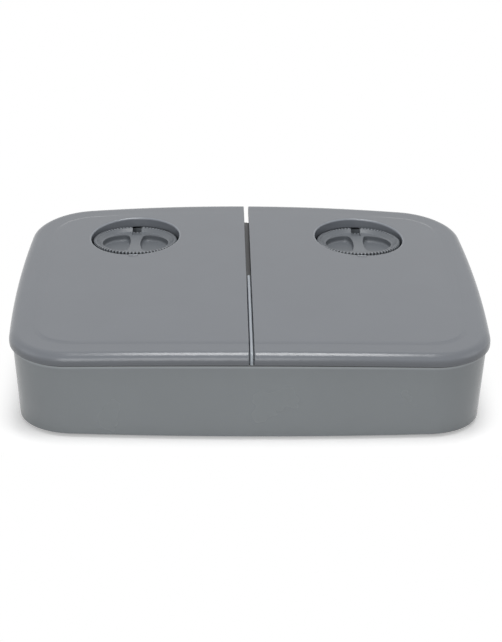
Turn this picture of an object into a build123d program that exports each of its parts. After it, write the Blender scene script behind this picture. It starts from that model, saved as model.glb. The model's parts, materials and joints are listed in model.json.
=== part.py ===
from build123d import *
import math
import os

os.makedirs("parts", exist_ok=True)

# Driving sizes of the body, in millimetres and degrees
BODY_WIDTH = 330.0
BODY_DEPTH = 250.0
SIDE_BULGE = 5.6
END_BULGE = 6.5
CORNER_RADIUS = 45.0
RIM_HEIGHT = 55.0
SLOPE_ANGLE = 5.7
CROWN_DROP = 5.2
BASE_DRAFT = 3.7
FOOT_HEIGHT = 2.0
WALL = 2.6
EDGE_ROUNDING = 0.8

# Driving sizes of the lids
LID_HEIGHT = 8.4
LID_ROUNDING = 6.4
LID_GAP = 3.4
SEAM_GAP = 0.9
PLATEAU_BORDER = 16.0
PLATEAU_RISE = 0.8
PLATEAU_ROUNDING = 6.0
HINGE_SETBACK = 9.5
PIN_RADIUS = 1.5
KNUCKLE_RADIUS = 3.6
RUNNING_GAP = 0.05

# Driving sizes of the dials
DIAL_X = 84.0
DIAL_SETBACK = 61.0
DIAL_RADIUS = 31.3
DIAL_SINK = 3.05
KNURL_TEETH = 72
KNURL_HEIGHT = 5.0
KNURL_DEPTH = 0.9
KNURL_BEVEL = 0.6
NOTCH_WIDTH = 6.7
NOTCH_LENGTH = 12.5
HOLLOW_WIDTH = 20.8
HOLLOW_ROUND = 18.6
HOLLOW_FLANK = 72.0
HOLLOW_CORNER = 4.0
HOLLOW_FLOOR_ROUNDING = 1.8
HOLLOW_DEPTH = 7.2
DISH_DEPTH = 2.6
DISH_RUN = 3.2
DISH_ROUNDING = 2.4
RIM_WIDTH = 2.7
BRIDGE_WIDTH = 7.5
SPINDLE_RADIUS = 3.0

# Driving sizes of the trays and of the inner moulding
TRAY_SIDE_SPACE = 14.0
TRAY_FRONT_SPACE = 13.0
TRAY_SPACING = 12.0
TRAY_DRAFT = 6.0
TRAY_WALL = 2.0
TRAY_OUTER_ROUNDING = 9.0
TRAY_INNER_ROUNDING = 8.0
DECK_THICKNESS = 2.4
DECK_SINK = 1.5
FIT_GAP = 0.4
BITE = 0.5

# Driving sizes of the timers
GEAR_MODULE = 1.0
SMALL_MODULE = 0.7
WHEEL_TEETH = 36
PINION_TEETH = 12
TOOTH_PLAY = 0.2
PRESSURE_ANGLE = 25.0
CASE_WALL = 2.0

# Driving sizes of the battery
CELL_RADIUS = 7.25
CELL_LENGTH = 49.5

# Sizes that follow from the driving sizes
SLOPE = math.tan(math.radians(SLOPE_ANGLE))
REACH = 1.2 * BODY_WIDTH
SKY = 2 * BODY_WIDTH


def rim_at(x, y):
    # Height of the sloped and crowned rim surface at a place on the body
    return RIM_HEIGHT + SLOPE * (y + BODY_DEPTH / 2) - CROWN_DROP * (2 * x / BODY_WIDTH) ** 2


HINGE_Y = BODY_DEPTH / 2 - HINGE_SETBACK
HINGE_Z = rim_at(0, HINGE_Y) - 0.6
LID_TOP = LID_HEIGHT + PLATEAU_RISE
LID_SHEET = LID_HEIGHT - WALL
BASE_INSET = rim_at(0, BODY_DEPTH / 2) * math.tan(math.radians(BASE_DRAFT)) + 0.3
RELIEF_DEPTH = math.hypot(HINGE_SETBACK, rim_at(0, BODY_DEPTH / 2) - HINGE_Z) + 0.2
RELIEF_Z = HINGE_Z - RELIEF_DEPTH
SHELF_TOP = RELIEF_Z - FIT_GAP
DECK_BACK = HINGE_Y - KNUCKLE_RADIUS - 1.2

DIAL_Y = BODY_DEPTH / 2 - DIAL_SETBACK
DIAL_TOP = rim_at(DIAL_X, DIAL_Y) + LID_TOP - DIAL_SINK
FLANGE_RADIUS = DIAL_RADIUS + 2.7
FLANGE_TOP = DIAL_TOP - 2 * KNURL_HEIGHT
FLANGE_BOTTOM = FLANGE_TOP - 2.0
TONGUE_TOP = FLANGE_BOTTOM - 0.5
TONGUE_BOTTOM = TONGUE_TOP - 2.2
WELL_FLOOR = TONGUE_BOTTOM - 1.2
WELL_RADIUS = FLANGE_RADIUS + 4.5
HOLE_RADIUS = DIAL_RADIUS + 1.6
PAD_THICKNESS = 4.4
HUB_RADIUS = FLANGE_RADIUS - 8.0

TRAY_FRONT = -BODY_DEPTH / 2 + TRAY_FRONT_SPACE
TRAY_BACK = DIAL_Y - WELL_RADIUS - WALL - 7.0
TRAY_INNER = TRAY_SPACING / 2
TRAY_OUTER = BODY_WIDTH / 2 - TRAY_SIDE_SPACE
TRAY_X = (TRAY_INNER + TRAY_OUTER) / 2
TRAY_Y = (TRAY_FRONT + TRAY_BACK) / 2
TRAY_BOTTOM = FOOT_HEIGHT + WALL + 4.0
TRAY_SHRINK = (rim_at(0, TRAY_BACK) - TRAY_BOTTOM) * math.tan(math.radians(TRAY_DRAFT))
TRAY_CORNER = 32.0
TRAY_FLANGE = 3.5


def body_outline(inset):
    # Outline of the body: four shallow arcs with round corners
    half_width = BODY_WIDTH / 2 - inset
    half_depth = BODY_DEPTH / 2 - inset
    side = half_width - SIDE_BULGE
    end = half_depth - END_BULGE
    with BuildSketch() as outline:
        with BuildLine():
            ThreePointArc((-side, -end), (0, -half_depth), (side, -end))
            ThreePointArc((side, -end), (half_width, 0), (side, end))
            ThreePointArc((side, end), (0, half_depth), (-side, end))
            ThreePointArc((-side, end), (-half_width, 0), (-side, -end))
        make_face()
        fillet(outline.vertices(), CORNER_RADIUS - inset)
    return outline.sketch


def crown_band(low, high):
    # Sloped and crowned layer between two heights above the rim surface
    tilt = math.radians(SLOPE_ANGLE)
    half = REACH / 2
    drop = CROWN_DROP * (REACH / BODY_WIDTH) ** 2
    back_height = rim_at(0, 0) + half * math.sin(tilt)
    back_plane = Plane(
        origin=(0, half * math.cos(tilt), back_height),
        x_dir=(1, 0, 0),
        z_dir=(0, -math.cos(tilt), -math.sin(tilt)),
    )
    low = low * math.cos(tilt)
    high = high * math.cos(tilt)
    with BuildPart() as band:
        with BuildSketch(back_plane):
            with BuildLine():
                ThreePointArc((-half, low - drop), (0, low), (half, low - drop))
                Line((half, low - drop), (half, high - drop))
                ThreePointArc((half, high - drop), (0, high), (-half, high - drop))
                Line((-half, high - drop), (-half, low - drop))
            make_face()
        extrude(amount=REACH)
    return band.part


def slab(inset, low, high, rounding):
    # Full-width layer in the body outline, with its upper edge rounded
    with BuildPart() as block:
        with BuildSketch():
            add(body_outline(inset))
        extrude(amount=BODY_DEPTH)
        add(crown_band(low, high), mode=Mode.INTERSECT)
        top = [face for face in block.faces() if face.normal_at().Z > 0.9][0]
        fillet(top.edges(), rounding)
    return block.part


def left_side(gap_inset):
    # Everything left of the gap between the lids
    with BuildPart() as block:
        with Locations((-LID_GAP / 2 - gap_inset, 0, 0)):
            Box(BODY_WIDTH, 2 * BODY_DEPTH, 2 * BODY_DEPTH, align=(Align.MAX, Align.CENTER, Align.CENTER))
    return block.part


def tub(inset):
    # Tapered tub body, wider at the top
    with BuildPart() as block:
        with BuildSketch(Plane.XY.offset(FOOT_HEIGHT)):
            add(body_outline(BASE_INSET + inset))
        extrude(amount=rim_at(0, BODY_DEPTH / 2) + WALL, taper=-BASE_DRAFT)
    return block.part


def tray_block(grow, bottom):
    # Tapered block of the left tray
    width = TRAY_OUTER - TRAY_INNER - 2 * TRAY_SHRINK + 2 * grow
    depth = TRAY_BACK - TRAY_FRONT - 2 * TRAY_SHRINK + 2 * grow
    with BuildPart() as block:
        with BuildSketch(Plane.XY.offset(bottom)):
            with Locations((-TRAY_X, TRAY_Y)):
                RectangleRounded(width, depth, TRAY_CORNER - TRAY_SHRINK + grow)
        extrude(amount=rim_at(0, TRAY_BACK), taper=-TRAY_DRAFT)
    return block.part


def tray_ring(grow, width, low, high):
    # Flat ring round the mouth of the left tray, between two heights above the rim
    outer_width = TRAY_OUTER - TRAY_INNER + 2 * grow
    outer_depth = TRAY_BACK - TRAY_FRONT + 2 * grow
    with BuildPart() as ring:
        with BuildSketch():
            with Locations((-TRAY_X, TRAY_Y)):
                RectangleRounded(outer_width, outer_depth, TRAY_CORNER + grow)
                RectangleRounded(
                    outer_width - 2 * width,
                    outer_depth - 2 * width,
                    TRAY_CORNER + grow - width,
                    mode=Mode.SUBTRACT,
                )
        extrude(amount=BODY_DEPTH)
        add(crown_band(low, high), mode=Mode.INTERSECT)
    return ring.part


def gear_outline(teeth, module, turn):
    # Toothed outline with short involute teeth
    pressure = math.radians(PRESSURE_ANGLE)
    pitch = teeth * module / 2
    base = pitch * math.cos(pressure)
    root = pitch - 1.1 * module
    tip = pitch + 0.8 * module
    half = math.pi / (2 * teeth) - TOOTH_PLAY / (2 * pitch) + math.tan(pressure) - pressure
    corners = []
    for tooth in range(teeth):
        middle = turn + tooth * math.tau / teeth
        flank = []
        for radius in (root, max(base, root) + 0.15 * module, pitch, tip):
            lean = math.acos(min(1.0, base / radius))
            flank.append((radius, half - math.tan(lean) + lean))
        for radius, angle in flank:
            corners.append((radius * math.cos(middle - angle), radius * math.sin(middle - angle)))
        for radius, angle in reversed(flank):
            corners.append((radius * math.cos(middle + angle), radius * math.sin(middle + angle)))
    with BuildSketch() as outline:
        with BuildLine():
            Polyline(*corners, close=True)
        make_face()
    return outline.sketch


def coil(radius, wire, pitch, turns):
    # Round wire wound about the Z axis
    with BuildPart() as spring:
        with BuildLine():
            helix = Helix(pitch=pitch, height=pitch * turns, radius=radius)
        with BuildSketch(Plane(origin=helix @ 0, z_dir=helix % 0)):
            Circle(wire)
        sweep(is_frenet=True)
    return spring.part


# Base shell
post_places = [
    (0, -0.37 * BODY_DEPTH),
    (0, TRAY_BACK - 8.0),
    (-BODY_WIDTH / 2 + 25.0, TRAY_BACK + 26.0),
    (BODY_WIDTH / 2 - 25.0, TRAY_BACK + 26.0),
    (-BODY_WIDTH / 2 + 47.0, DECK_BACK - 7.0),
    (BODY_WIDTH / 2 - 47.0, DECK_BACK - 7.0),
]
foot_places = [
    (x * (BODY_WIDTH / 2 - 31.0), y * (BODY_DEPTH / 2 - 41.0))
    for x in (-1, 1)
    for y in (-1, 1)
]
FLOOR_TOP = FOOT_HEIGHT + WALL
SCREW_RADIUS = 1.5
SCREW_HEAD = 2.9
FOOT_RADIUS = 7.0
FOOT_RECESS = 1.0
FOOT_BEVEL = 0.6
FOOT_PLAY = 0.2
SCREW_PLAY = 0.2
SCREW_HEAD_PLAY = 0.4
SCREW_HEAD_HEIGHT = 2.0
SCREW_HEAD_SINK = 1.0
SCREW_LENGTH = 14.0
TUBE_RADIUS = 5.0
TUBE_HEIGHT = 5.0
BOTTOM_ROUNDING = 1.6
BATTERY_Y = DIAL_Y + 6.0
BATTERY_Z = FLOOR_TOP + 1.35 + CELL_RADIUS
BAY_LENGTH = CELL_LENGTH + 6.5
BAY_WIDTH = 2 * CELL_RADIUS + 1.5
BAY_WALL = 2.0
DOOR_TRAVEL = 8.0
DOOR_THICKNESS = 1.6
DOOR_LENGTH = BAY_LENGTH + 8.0
DOOR_WIDTH = BAY_WIDTH + 8.0
DOOR_BEVEL = 0.8
DOOR_PLAY = 0.5
DOOR_LIFT = 0.2
DOOR_FRAME = 4.0
BAY_RISE = 3.0

with BuildPart() as base_shell:
    add(tub(0))
    bottom_edges = base_shell.faces().sort_by(Axis.Z)[0].edges()
    fillet(bottom_edges, BOTTOM_ROUNDING)
    with BuildPart(mode=Mode.PRIVATE) as tub_hollow:
        add(tub(WALL))
        with Locations((0, 0, FLOOR_TOP)):
            Box(BODY_WIDTH * 2, BODY_DEPTH * 2, BODY_WIDTH, align=(Align.CENTER, Align.CENTER, Align.MAX),
                mode=Mode.SUBTRACT)
    add(tub_hollow.part, mode=Mode.SUBTRACT)
    add(crown_band(0, SKY), mode=Mode.SUBTRACT)
    rim_face = base_shell.faces().filter_by(lambda face: face.normal_at().Z > 0.9).sort_by(Axis.Z)[-1]
    fillet(rim_face.outer_wire().edges(), EDGE_ROUNDING)
    # The back wall is lowered so that the back skirt of an opening lid swings down past it
    with Locations((0, HINGE_Y - 2.0, RELIEF_Z)):
        Box(BODY_WIDTH * 2, BODY_DEPTH, BODY_DEPTH, align=(Align.CENTER, Align.MIN, Align.MIN),
            mode=Mode.SUBTRACT)
    # Tubes under the posts of the inner moulding
    with BuildSketch(Plane.XY.offset(FLOOR_TOP)):
        with Locations(*post_places):
            Circle(TUBE_RADIUS)
    extrude(amount=TUBE_HEIGHT)
    with BuildSketch(Plane.XY.offset(FOOT_HEIGHT)):
        with Locations(*post_places):
            Circle(SCREW_RADIUS + SCREW_PLAY)
    extrude(amount=2 * TUBE_HEIGHT, mode=Mode.SUBTRACT)
    with BuildSketch(Plane.XY.offset(FOOT_HEIGHT)):
        with Locations(*post_places):
            Circle(SCREW_HEAD + SCREW_HEAD_PLAY)
    extrude(amount=SCREW_HEAD_SINK + SCREW_HEAD_HEIGHT, mode=Mode.SUBTRACT)
    # Shallow recesses for the feet
    with BuildSketch(Plane.XY.offset(FOOT_HEIGHT)):
        with Locations(*foot_places):
            Circle(FOOT_RADIUS + FOOT_PLAY)
    extrude(amount=FOOT_RECESS, mode=Mode.SUBTRACT)
    # Battery bay with its thick floor, walls and the slide for the door
    with BuildSketch(Plane.XY.offset(FLOOR_TOP - BITE)):
        with Locations((0, BATTERY_Y + DOOR_TRAVEL / 2)):
            Rectangle(DOOR_LENGTH + DOOR_FRAME, DOOR_WIDTH + DOOR_TRAVEL + DOOR_FRAME)
    extrude(amount=3 * BITE)
    with BuildSketch(Plane.XY.offset(FLOOR_TOP)):
        with Locations((0, BATTERY_Y)):
            Rectangle(BAY_LENGTH + 2 * BAY_WALL, BAY_WIDTH + 2 * BAY_WALL)
    extrude(amount=CELL_RADIUS + BAY_RISE)
    with BuildSketch(Plane.XY.offset(FOOT_HEIGHT)):
        with Locations((0, BATTERY_Y)):
            Rectangle(BAY_LENGTH, BAY_WIDTH)
    extrude(amount=RIM_HEIGHT, mode=Mode.SUBTRACT)
    with BuildSketch(Plane.XY.offset(FOOT_HEIGHT)):
        with Locations((0, BATTERY_Y)):
            Rectangle(DOOR_LENGTH + DOOR_PLAY - 2 * DOOR_BEVEL, DOOR_WIDTH + DOOR_PLAY)
    with BuildSketch(Plane.XY.offset(FOOT_HEIGHT + DOOR_THICKNESS + DOOR_LIFT)):
        with Locations((0, BATTERY_Y)):
            Rectangle(DOOR_LENGTH + DOOR_PLAY, DOOR_WIDTH + DOOR_PLAY)
    loft(mode=Mode.SUBTRACT)
    with BuildSketch(Plane.XY.offset(FOOT_HEIGHT)):
        with Locations((0, BATTERY_Y + DOOR_WIDTH / 2)):
            Rectangle(
                DOOR_LENGTH + 2 * DOOR_PLAY, DOOR_TRAVEL + DOOR_PLAY, align=(Align.CENTER, Align.MIN),
            )
    extrude(amount=DOOR_THICKNESS + DOOR_LIFT, mode=Mode.SUBTRACT)
base_shell.part.label = "base_shell"

# Four soft feet
with BuildPart() as feet:
    with BuildSketch():
        with Locations(*foot_places):
            Circle(FOOT_RADIUS)
    extrude(amount=FOOT_HEIGHT + FOOT_RECESS)
    chamfer(feet.edges().group_by(Axis.Z)[0], FOOT_BEVEL)
feet.part.label = "feet"

# Inner moulding
EAR_PLACES = (26.0, 64.0, 100.0)
EAR_THICKNESS = 4.0
POST_BOTTOM = FLOOR_TOP + TUBE_HEIGHT
POST_RADIUS = 4.0
POST_BORE = 12.0
RIB_LENGTH = BODY_DEPTH / 2 - 5.5
RIB_THICKNESS = LID_GAP - 1.2
RIB_START = 1.0
RIB_SINK = 0.4
RIB_OVERHANG = 6.0
RIB_ROUNDING = LID_GAP / 2 - 0.8
STUB_HEIGHT = 6.2
PAD_X = DIAL_X - 9.0
PAD_Y = DIAL_Y + 3.0
CASE_WIDTH = 64.0
CASE_DEPTH = 54.0
CASE_CORNER = 4.0
CASE_PILOT = 1.2
PILOT_ROOF = 0.8
SPINDLE_PLAY = 0.6
PAD_BOTTOM = WELL_FLOOR - PAD_THICKNESS
CASE_SCREWS = [
    (x * (CASE_WIDTH / 2 - 3.6), y * (CASE_DEPTH / 2 - 3.6))
    for x in (-1, 1)
    for y in (-1, 1)
]

with BuildPart() as deck:
    add(tub(WALL + FIT_GAP))
    with BuildPart(mode=Mode.PRIVATE) as deck_layer:
        add(crown_band(-DECK_SINK - DECK_THICKNESS, -DECK_SINK))
        with Locations((0, DECK_BACK, 0)):
            Box(BODY_WIDTH * 2, BODY_DEPTH, BODY_WIDTH, align=(Align.CENTER, Align.MIN, Align.CENTER),
                mode=Mode.SUBTRACT)
        with BuildPart(mode=Mode.PRIVATE) as riser:
            with Locations((0, DECK_BACK, SHELF_TOP - DECK_THICKNESS)):
                Box(BODY_WIDTH * 2, DECK_THICKNESS, BODY_DEPTH, align=(Align.CENTER, Align.MAX, Align.MIN))
            add(crown_band(-DECK_SINK, SKY), mode=Mode.SUBTRACT)
        add(riser.part)
        with Locations((0, DECK_BACK - DECK_THICKNESS, SHELF_TOP)):
            Box(BODY_WIDTH * 2, BODY_DEPTH, DECK_THICKNESS, align=(Align.CENTER, Align.MIN, Align.MAX))
    add(deck_layer.part, mode=Mode.INTERSECT)
    # Dial wells with a thick pad for each timer
    with BuildPart(mode=Mode.PRIVATE) as wells:
        for side in (-1, 1):
            with BuildSketch(Plane.XY.offset(PAD_BOTTOM)):
                with Locations((side * DIAL_X, DIAL_Y)):
                    Circle(WELL_RADIUS + WALL)
            extrude(amount=BODY_DEPTH)
        add(crown_band(-DECK_SINK, SKY), mode=Mode.SUBTRACT)
        for side in (-1, 1):
            with BuildSketch(Plane.XY.offset(PAD_BOTTOM)):
                with Locations((side * PAD_X, PAD_Y)):
                    RectangleRounded(CASE_WIDTH, CASE_DEPTH, CASE_CORNER)
            extrude(amount=PAD_THICKNESS)
    add(wells.part)
    for side in (-1, 1):
        with BuildSketch(Plane.XY.offset(WELL_FLOOR)):
            with Locations((side * DIAL_X, DIAL_Y)):
                Circle(WELL_RADIUS)
        extrude(amount=BODY_DEPTH, mode=Mode.SUBTRACT)
        with BuildSketch(Plane.XY.offset(PAD_BOTTOM)):
            with Locations((side * DIAL_X, DIAL_Y)):
                Circle(SPINDLE_RADIUS + SPINDLE_PLAY)
            with Locations((side * PAD_X, PAD_Y)):
                with Locations(*CASE_SCREWS):
                    Circle(CASE_PILOT)
        extrude(amount=PAD_THICKNESS - PILOT_ROOF, mode=Mode.SUBTRACT)
        with BuildSketch(Plane.XY.offset(PAD_BOTTOM)):
            with Locations((side * DIAL_X, DIAL_Y)):
                Circle(SPINDLE_RADIUS + SPINDLE_PLAY)
        extrude(amount=PAD_THICKNESS, mode=Mode.SUBTRACT)
    # Openings for the trays
    left_opening = tray_block(FIT_GAP, TRAY_BOTTOM)
    add(left_opening, mode=Mode.SUBTRACT)
    mirror(left_opening, about=Plane.YZ, mode=Mode.SUBTRACT)
    # Divider rib between the lids, and a low stub at the back
    with BuildPart(mode=Mode.PRIVATE) as rib:
        with Locations((0, -BODY_DEPTH / 2 + RIB_START, 0)):
            Box(RIB_THICKNESS, RIB_LENGTH, BODY_WIDTH, align=(Align.CENTER, Align.MIN, Align.CENTER))
        add(crown_band(-DECK_SINK - BITE, LID_HEIGHT - RIB_SINK), mode=Mode.INTERSECT)
        rib_front = rib.faces().sort_by(Axis.Y)[0]
        fillet(rib_front.edges().sort_by(Axis.Z)[-1], LID_ROUNDING)
        # The front end reaches over the rim of the base
        overhang_y = -BODY_DEPTH / 2 + RIB_OVERHANG
        with Locations((0, overhang_y, rim_at(0, overhang_y))):
            Box(LID_GAP, BODY_DEPTH, BODY_DEPTH, align=(Align.CENTER, Align.MAX, Align.MAX),
                mode=Mode.SUBTRACT)
        rib_top = [face for face in rib.faces() if face.normal_at().Z > 0.9][0]
        fillet(rib_top.edges().filter_by(lambda edge: edge.length > RIB_LENGTH / 2), RIB_ROUNDING)
    add(rib.part)
    with Locations((0, DECK_BACK, SHELF_TOP)):
        Box(RIB_THICKNESS, HINGE_SETBACK - BITE, STUB_HEIGHT, align=(Align.CENTER, Align.MIN, Align.MIN))
    # Hinge ears on the shelf
    for side in (-1, 1):
        for ear_x in EAR_PLACES:
            ear_plane = Plane(origin=(side * ear_x - EAR_THICKNESS / 2, HINGE_Y, HINGE_Z),
                              x_dir=(0, 1, 0), z_dir=(1, 0, 0))
            with BuildSketch(ear_plane):
                Circle(KNUCKLE_RADIUS)
                Rectangle(KNUCKLE_RADIUS + BITE, HINGE_Z - SHELF_TOP + BITE, align=(Align.MAX, Align.MAX))
                Circle(PIN_RADIUS, mode=Mode.SUBTRACT)
            extrude(amount=EAR_THICKNESS)
    # Screw posts down to the floor of the base
    with BuildPart(mode=Mode.PRIVATE) as posts:
        with BuildSketch(Plane.XY.offset(POST_BOTTOM)):
            with Locations(*post_places):
                Circle(POST_RADIUS)
        extrude(amount=BODY_DEPTH)
        add(crown_band(-DECK_SINK - 0.2, SKY), mode=Mode.SUBTRACT)
    add(posts.part)
    with BuildSketch(Plane.XY.offset(POST_BOTTOM)):
        with Locations(*post_places):
            Circle(SCREW_RADIUS)
    extrude(amount=POST_BORE, mode=Mode.SUBTRACT)
deck.part.label = "deck"

# Six screws that hold the inner moulding from below
CROSS_LENGTH = 4.0
CROSS_WIDTH = 0.8
with BuildPart() as deck_screws:
    with BuildSketch(Plane.XY.offset(FOOT_HEIGHT + SCREW_HEAD_SINK)):
        with Locations(*post_places):
            Circle(SCREW_HEAD)
    extrude(amount=SCREW_HEAD_HEIGHT)
    with BuildSketch(Plane.XY.offset(FOOT_HEIGHT + SCREW_HEAD_SINK + SCREW_HEAD_HEIGHT)):
        with Locations(*post_places):
            Circle(SCREW_RADIUS)
    extrude(amount=SCREW_LENGTH)
    with BuildSketch(Plane.XY.offset(FOOT_HEIGHT + SCREW_HEAD_SINK)):
        with Locations(*post_places):
            Rectangle(CROSS_LENGTH, CROSS_WIDTH)
            Rectangle(CROSS_WIDTH, CROSS_LENGTH)
    extrude(amount=SCREW_HEAD_HEIGHT / 2, mode=Mode.SUBTRACT)
deck_screws.part.label = "deck_screws"

# Food trays
with BuildPart() as tray_left:
    with BuildPart(mode=Mode.PRIVATE) as tray_outer:
        add(tray_block(0, TRAY_BOTTOM))
        fillet(tray_outer.faces().sort_by(Axis.Z)[0].edges(), TRAY_OUTER_ROUNDING)
        add(crown_band(0, SKY), mode=Mode.SUBTRACT)
    add(tray_outer.part)
    with BuildPart(mode=Mode.PRIVATE) as rim_plate:
        with BuildSketch():
            with Locations((-TRAY_X, TRAY_Y)):
                RectangleRounded(
                    TRAY_OUTER - TRAY_INNER + 2 * TRAY_FLANGE,
                    TRAY_BACK - TRAY_FRONT + 2 * TRAY_FLANGE,
                    TRAY_CORNER + TRAY_FLANGE,
                )
        extrude(amount=BODY_DEPTH)
        add(crown_band(-DECK_SINK, 0), mode=Mode.INTERSECT)
    add(rim_plate.part)
    with BuildPart(mode=Mode.PRIVATE) as tray_inner:
        add(tray_block(-TRAY_WALL, TRAY_BOTTOM + TRAY_WALL))
        fillet(tray_inner.faces().sort_by(Axis.Z)[0].edges(), TRAY_INNER_ROUNDING)
    add(tray_inner.part, mode=Mode.SUBTRACT)
tray_left.part.label = "tray_left"

with BuildPart() as tray_right:
    mirror(tray_left.part, about=Plane.YZ)
tray_right.part.label = "tray_right"

# Lids
KNUCKLE_PLACES = (36.0, 90.0)
KNUCKLE_LENGTH = 12.0
SEAL_WIDTH = 3.0
SEAL_TOP = 2.6
SEAL_BOTTOM = RUNNING_GAP
TONGUE_WIDTH = 6.4
TONGUE_OUTER = FLANGE_RADIUS + 2.8
TONGUE_INNER = FLANGE_RADIUS + 0.7
CATCH_INNER = DIAL_RADIUS + 0.8
COLLAR_WALL = 2.2
COLLAR_DEPTH = 7.0
HOLE_ROUNDING = 1.2
GAP_ROUNDING = 0.6
TICK_WIDTH = 6.6
TICK_DEPTH = 1.4
TICK_SPACE = 2.6
PLATEAU_BOTTOM = LID_TOP - PLATEAU_ROUNDING - BITE

with BuildPart() as lid_left:
    add(slab(0, SEAM_GAP, LID_HEIGHT, LID_ROUNDING))
    add(slab(PLATEAU_BORDER - PLATEAU_ROUNDING / 2, PLATEAU_BOTTOM, LID_TOP, PLATEAU_ROUNDING))
    add(left_side(0), mode=Mode.INTERSECT)
    gap_edges = [
        edge
        for edge in lid_left.edges()
        if abs(edge.center().X + LID_GAP / 2) < 0.01
        and edge.center().Z > rim_at(0, edge.center().Y) + LID_HEIGHT / 2
    ]
    fillet(gap_edges, GAP_ROUNDING)
    with BuildPart(mode=Mode.PRIVATE) as lid_hollow:
        add(slab(WALL, -WALL, LID_SHEET, LID_ROUNDING - WALL - 0.8))
        add(left_side(WALL - 0.4), mode=Mode.INTERSECT)
    add(lid_hollow.part, mode=Mode.SUBTRACT)
    # Ring that carries the seal over the tray
    add(tray_ring(0, SEAL_WIDTH, SEAL_TOP, LID_SHEET + BITE))
    # Collar round the dial hole
    with BuildPart(mode=Mode.PRIVATE) as collar:
        with BuildSketch():
            with Locations((-DIAL_X, DIAL_Y)):
                Circle(HOLE_RADIUS + COLLAR_WALL)
        extrude(amount=BODY_DEPTH)
        add(crown_band(LID_TOP - COLLAR_DEPTH, LID_SHEET + BITE), mode=Mode.INTERSECT)
    add(collar.part)
    # Catch tongue in front of the dial
    with BuildPart(mode=Mode.PRIVATE) as tongue:
        with BuildSketch(Plane.XY.offset(TONGUE_BOTTOM)):
            with Locations((-DIAL_X, DIAL_Y)):
                Circle(TONGUE_OUTER)
                Circle(TONGUE_INNER, mode=Mode.SUBTRACT)
            with Locations((-DIAL_X, DIAL_Y)):
                Rectangle(TONGUE_WIDTH, BODY_DEPTH, align=(Align.CENTER, Align.MAX), mode=Mode.INTERSECT)
        extrude(amount=BODY_DEPTH)
        add(crown_band(LID_SHEET + BITE, SKY), mode=Mode.SUBTRACT)
        with BuildSketch(Plane.XY.offset(TONGUE_BOTTOM)):
            with Locations((-DIAL_X, DIAL_Y)):
                Circle(TONGUE_OUTER)
                Circle(CATCH_INNER, mode=Mode.SUBTRACT)
            with Locations((-DIAL_X, DIAL_Y)):
                Rectangle(TONGUE_WIDTH, BODY_DEPTH, align=(Align.CENTER, Align.MAX), mode=Mode.INTERSECT)
        extrude(amount=TONGUE_TOP - TONGUE_BOTTOM)
    add(tongue.part)
    # Dial hole with a rounded lip
    with BuildSketch(Plane.XY.offset(RIM_HEIGHT)):
        with Locations((-DIAL_X, DIAL_Y)):
            Circle(HOLE_RADIUS)
    extrude(amount=BODY_DEPTH, mode=Mode.SUBTRACT)
    hole_edges = [
        edge
        for edge in lid_left.edges()
        if abs(math.dist(((edge @ 0.3).X, (edge @ 0.3).Y), (-DIAL_X, DIAL_Y)) - HOLE_RADIUS) < 0.01
        and abs(math.dist(((edge @ 0.8).X, (edge @ 0.8).Y), (-DIAL_X, DIAL_Y)) - HOLE_RADIUS) < 0.01
        and edge.center().Z > rim_at(DIAL_X, DIAL_Y) + LID_HEIGHT - 1.0
    ]
    fillet(hole_edges, HOLE_ROUNDING)
    # Hinge knuckles under the back
    for knuckle_x in KNUCKLE_PLACES:
        knuckle_plane = Plane(origin=(-knuckle_x - KNUCKLE_LENGTH / 2, HINGE_Y, HINGE_Z),
                              x_dir=(0, 1, 0), z_dir=(1, 0, 0))
        with BuildPart(mode=Mode.PRIVATE) as knuckle:
            with BuildSketch(knuckle_plane):
                Circle(KNUCKLE_RADIUS)
                Rectangle(2 * KNUCKLE_RADIUS, BODY_DEPTH, align=(Align.CENTER, Align.MIN))
            extrude(amount=KNUCKLE_LENGTH)
            add(crown_band(LID_SHEET + BITE, SKY), mode=Mode.SUBTRACT)
            with BuildSketch(knuckle_plane):
                Circle(PIN_RADIUS + RUNNING_GAP)
            extrude(amount=KNUCKLE_LENGTH, mode=Mode.SUBTRACT)
        add(knuckle.part)
    # Index tick in front of the dial
    with BuildPart(mode=Mode.PRIVATE) as tick:
        with BuildSketch():
            with Locations((-DIAL_X, DIAL_Y - HOLE_RADIUS - TICK_SPACE)):
                Rectangle(TICK_WIDTH, TICK_DEPTH)
        extrude(amount=BODY_DEPTH)
        add(crown_band(LID_SHEET, LID_TOP + BITE), mode=Mode.INTERSECT)
    add(tick.part)
lid_left.part.label = "lid_left"

with BuildPart() as lid_right:
    mirror(lid_left.part, about=Plane.YZ)
lid_right.part.label = "lid_right"

# Seals under the lids
with BuildPart() as lid_gasket_left:
    add(tray_ring(0, SEAL_WIDTH, SEAL_BOTTOM, SEAL_TOP))
lid_gasket_left.part.label = "lid_gasket_left"

with BuildPart() as lid_gasket_right:
    mirror(lid_gasket_left.part, about=Plane.YZ)
lid_gasket_right.part.label = "lid_gasket_right"

# Hinge pins
PIN_END = 0.5
PIN_START = EAR_PLACES[0] - EAR_THICKNESS / 2 - PIN_END
PIN_LENGTH = EAR_PLACES[-1] - EAR_PLACES[0] + EAR_THICKNESS + 2 * PIN_END
with BuildPart() as hinge_pin_right:
    with BuildSketch(Plane(origin=(PIN_START, HINGE_Y, HINGE_Z), x_dir=(0, 1, 0), z_dir=(1, 0, 0))):
        Circle(PIN_RADIUS)
    extrude(amount=PIN_LENGTH)
hinge_pin_right.part.label = "hinge_pin_right"

with BuildPart() as hinge_pin_left:
    mirror(hinge_pin_right.part, about=Plane.YZ)
hinge_pin_left.part.label = "hinge_pin_left"

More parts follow.
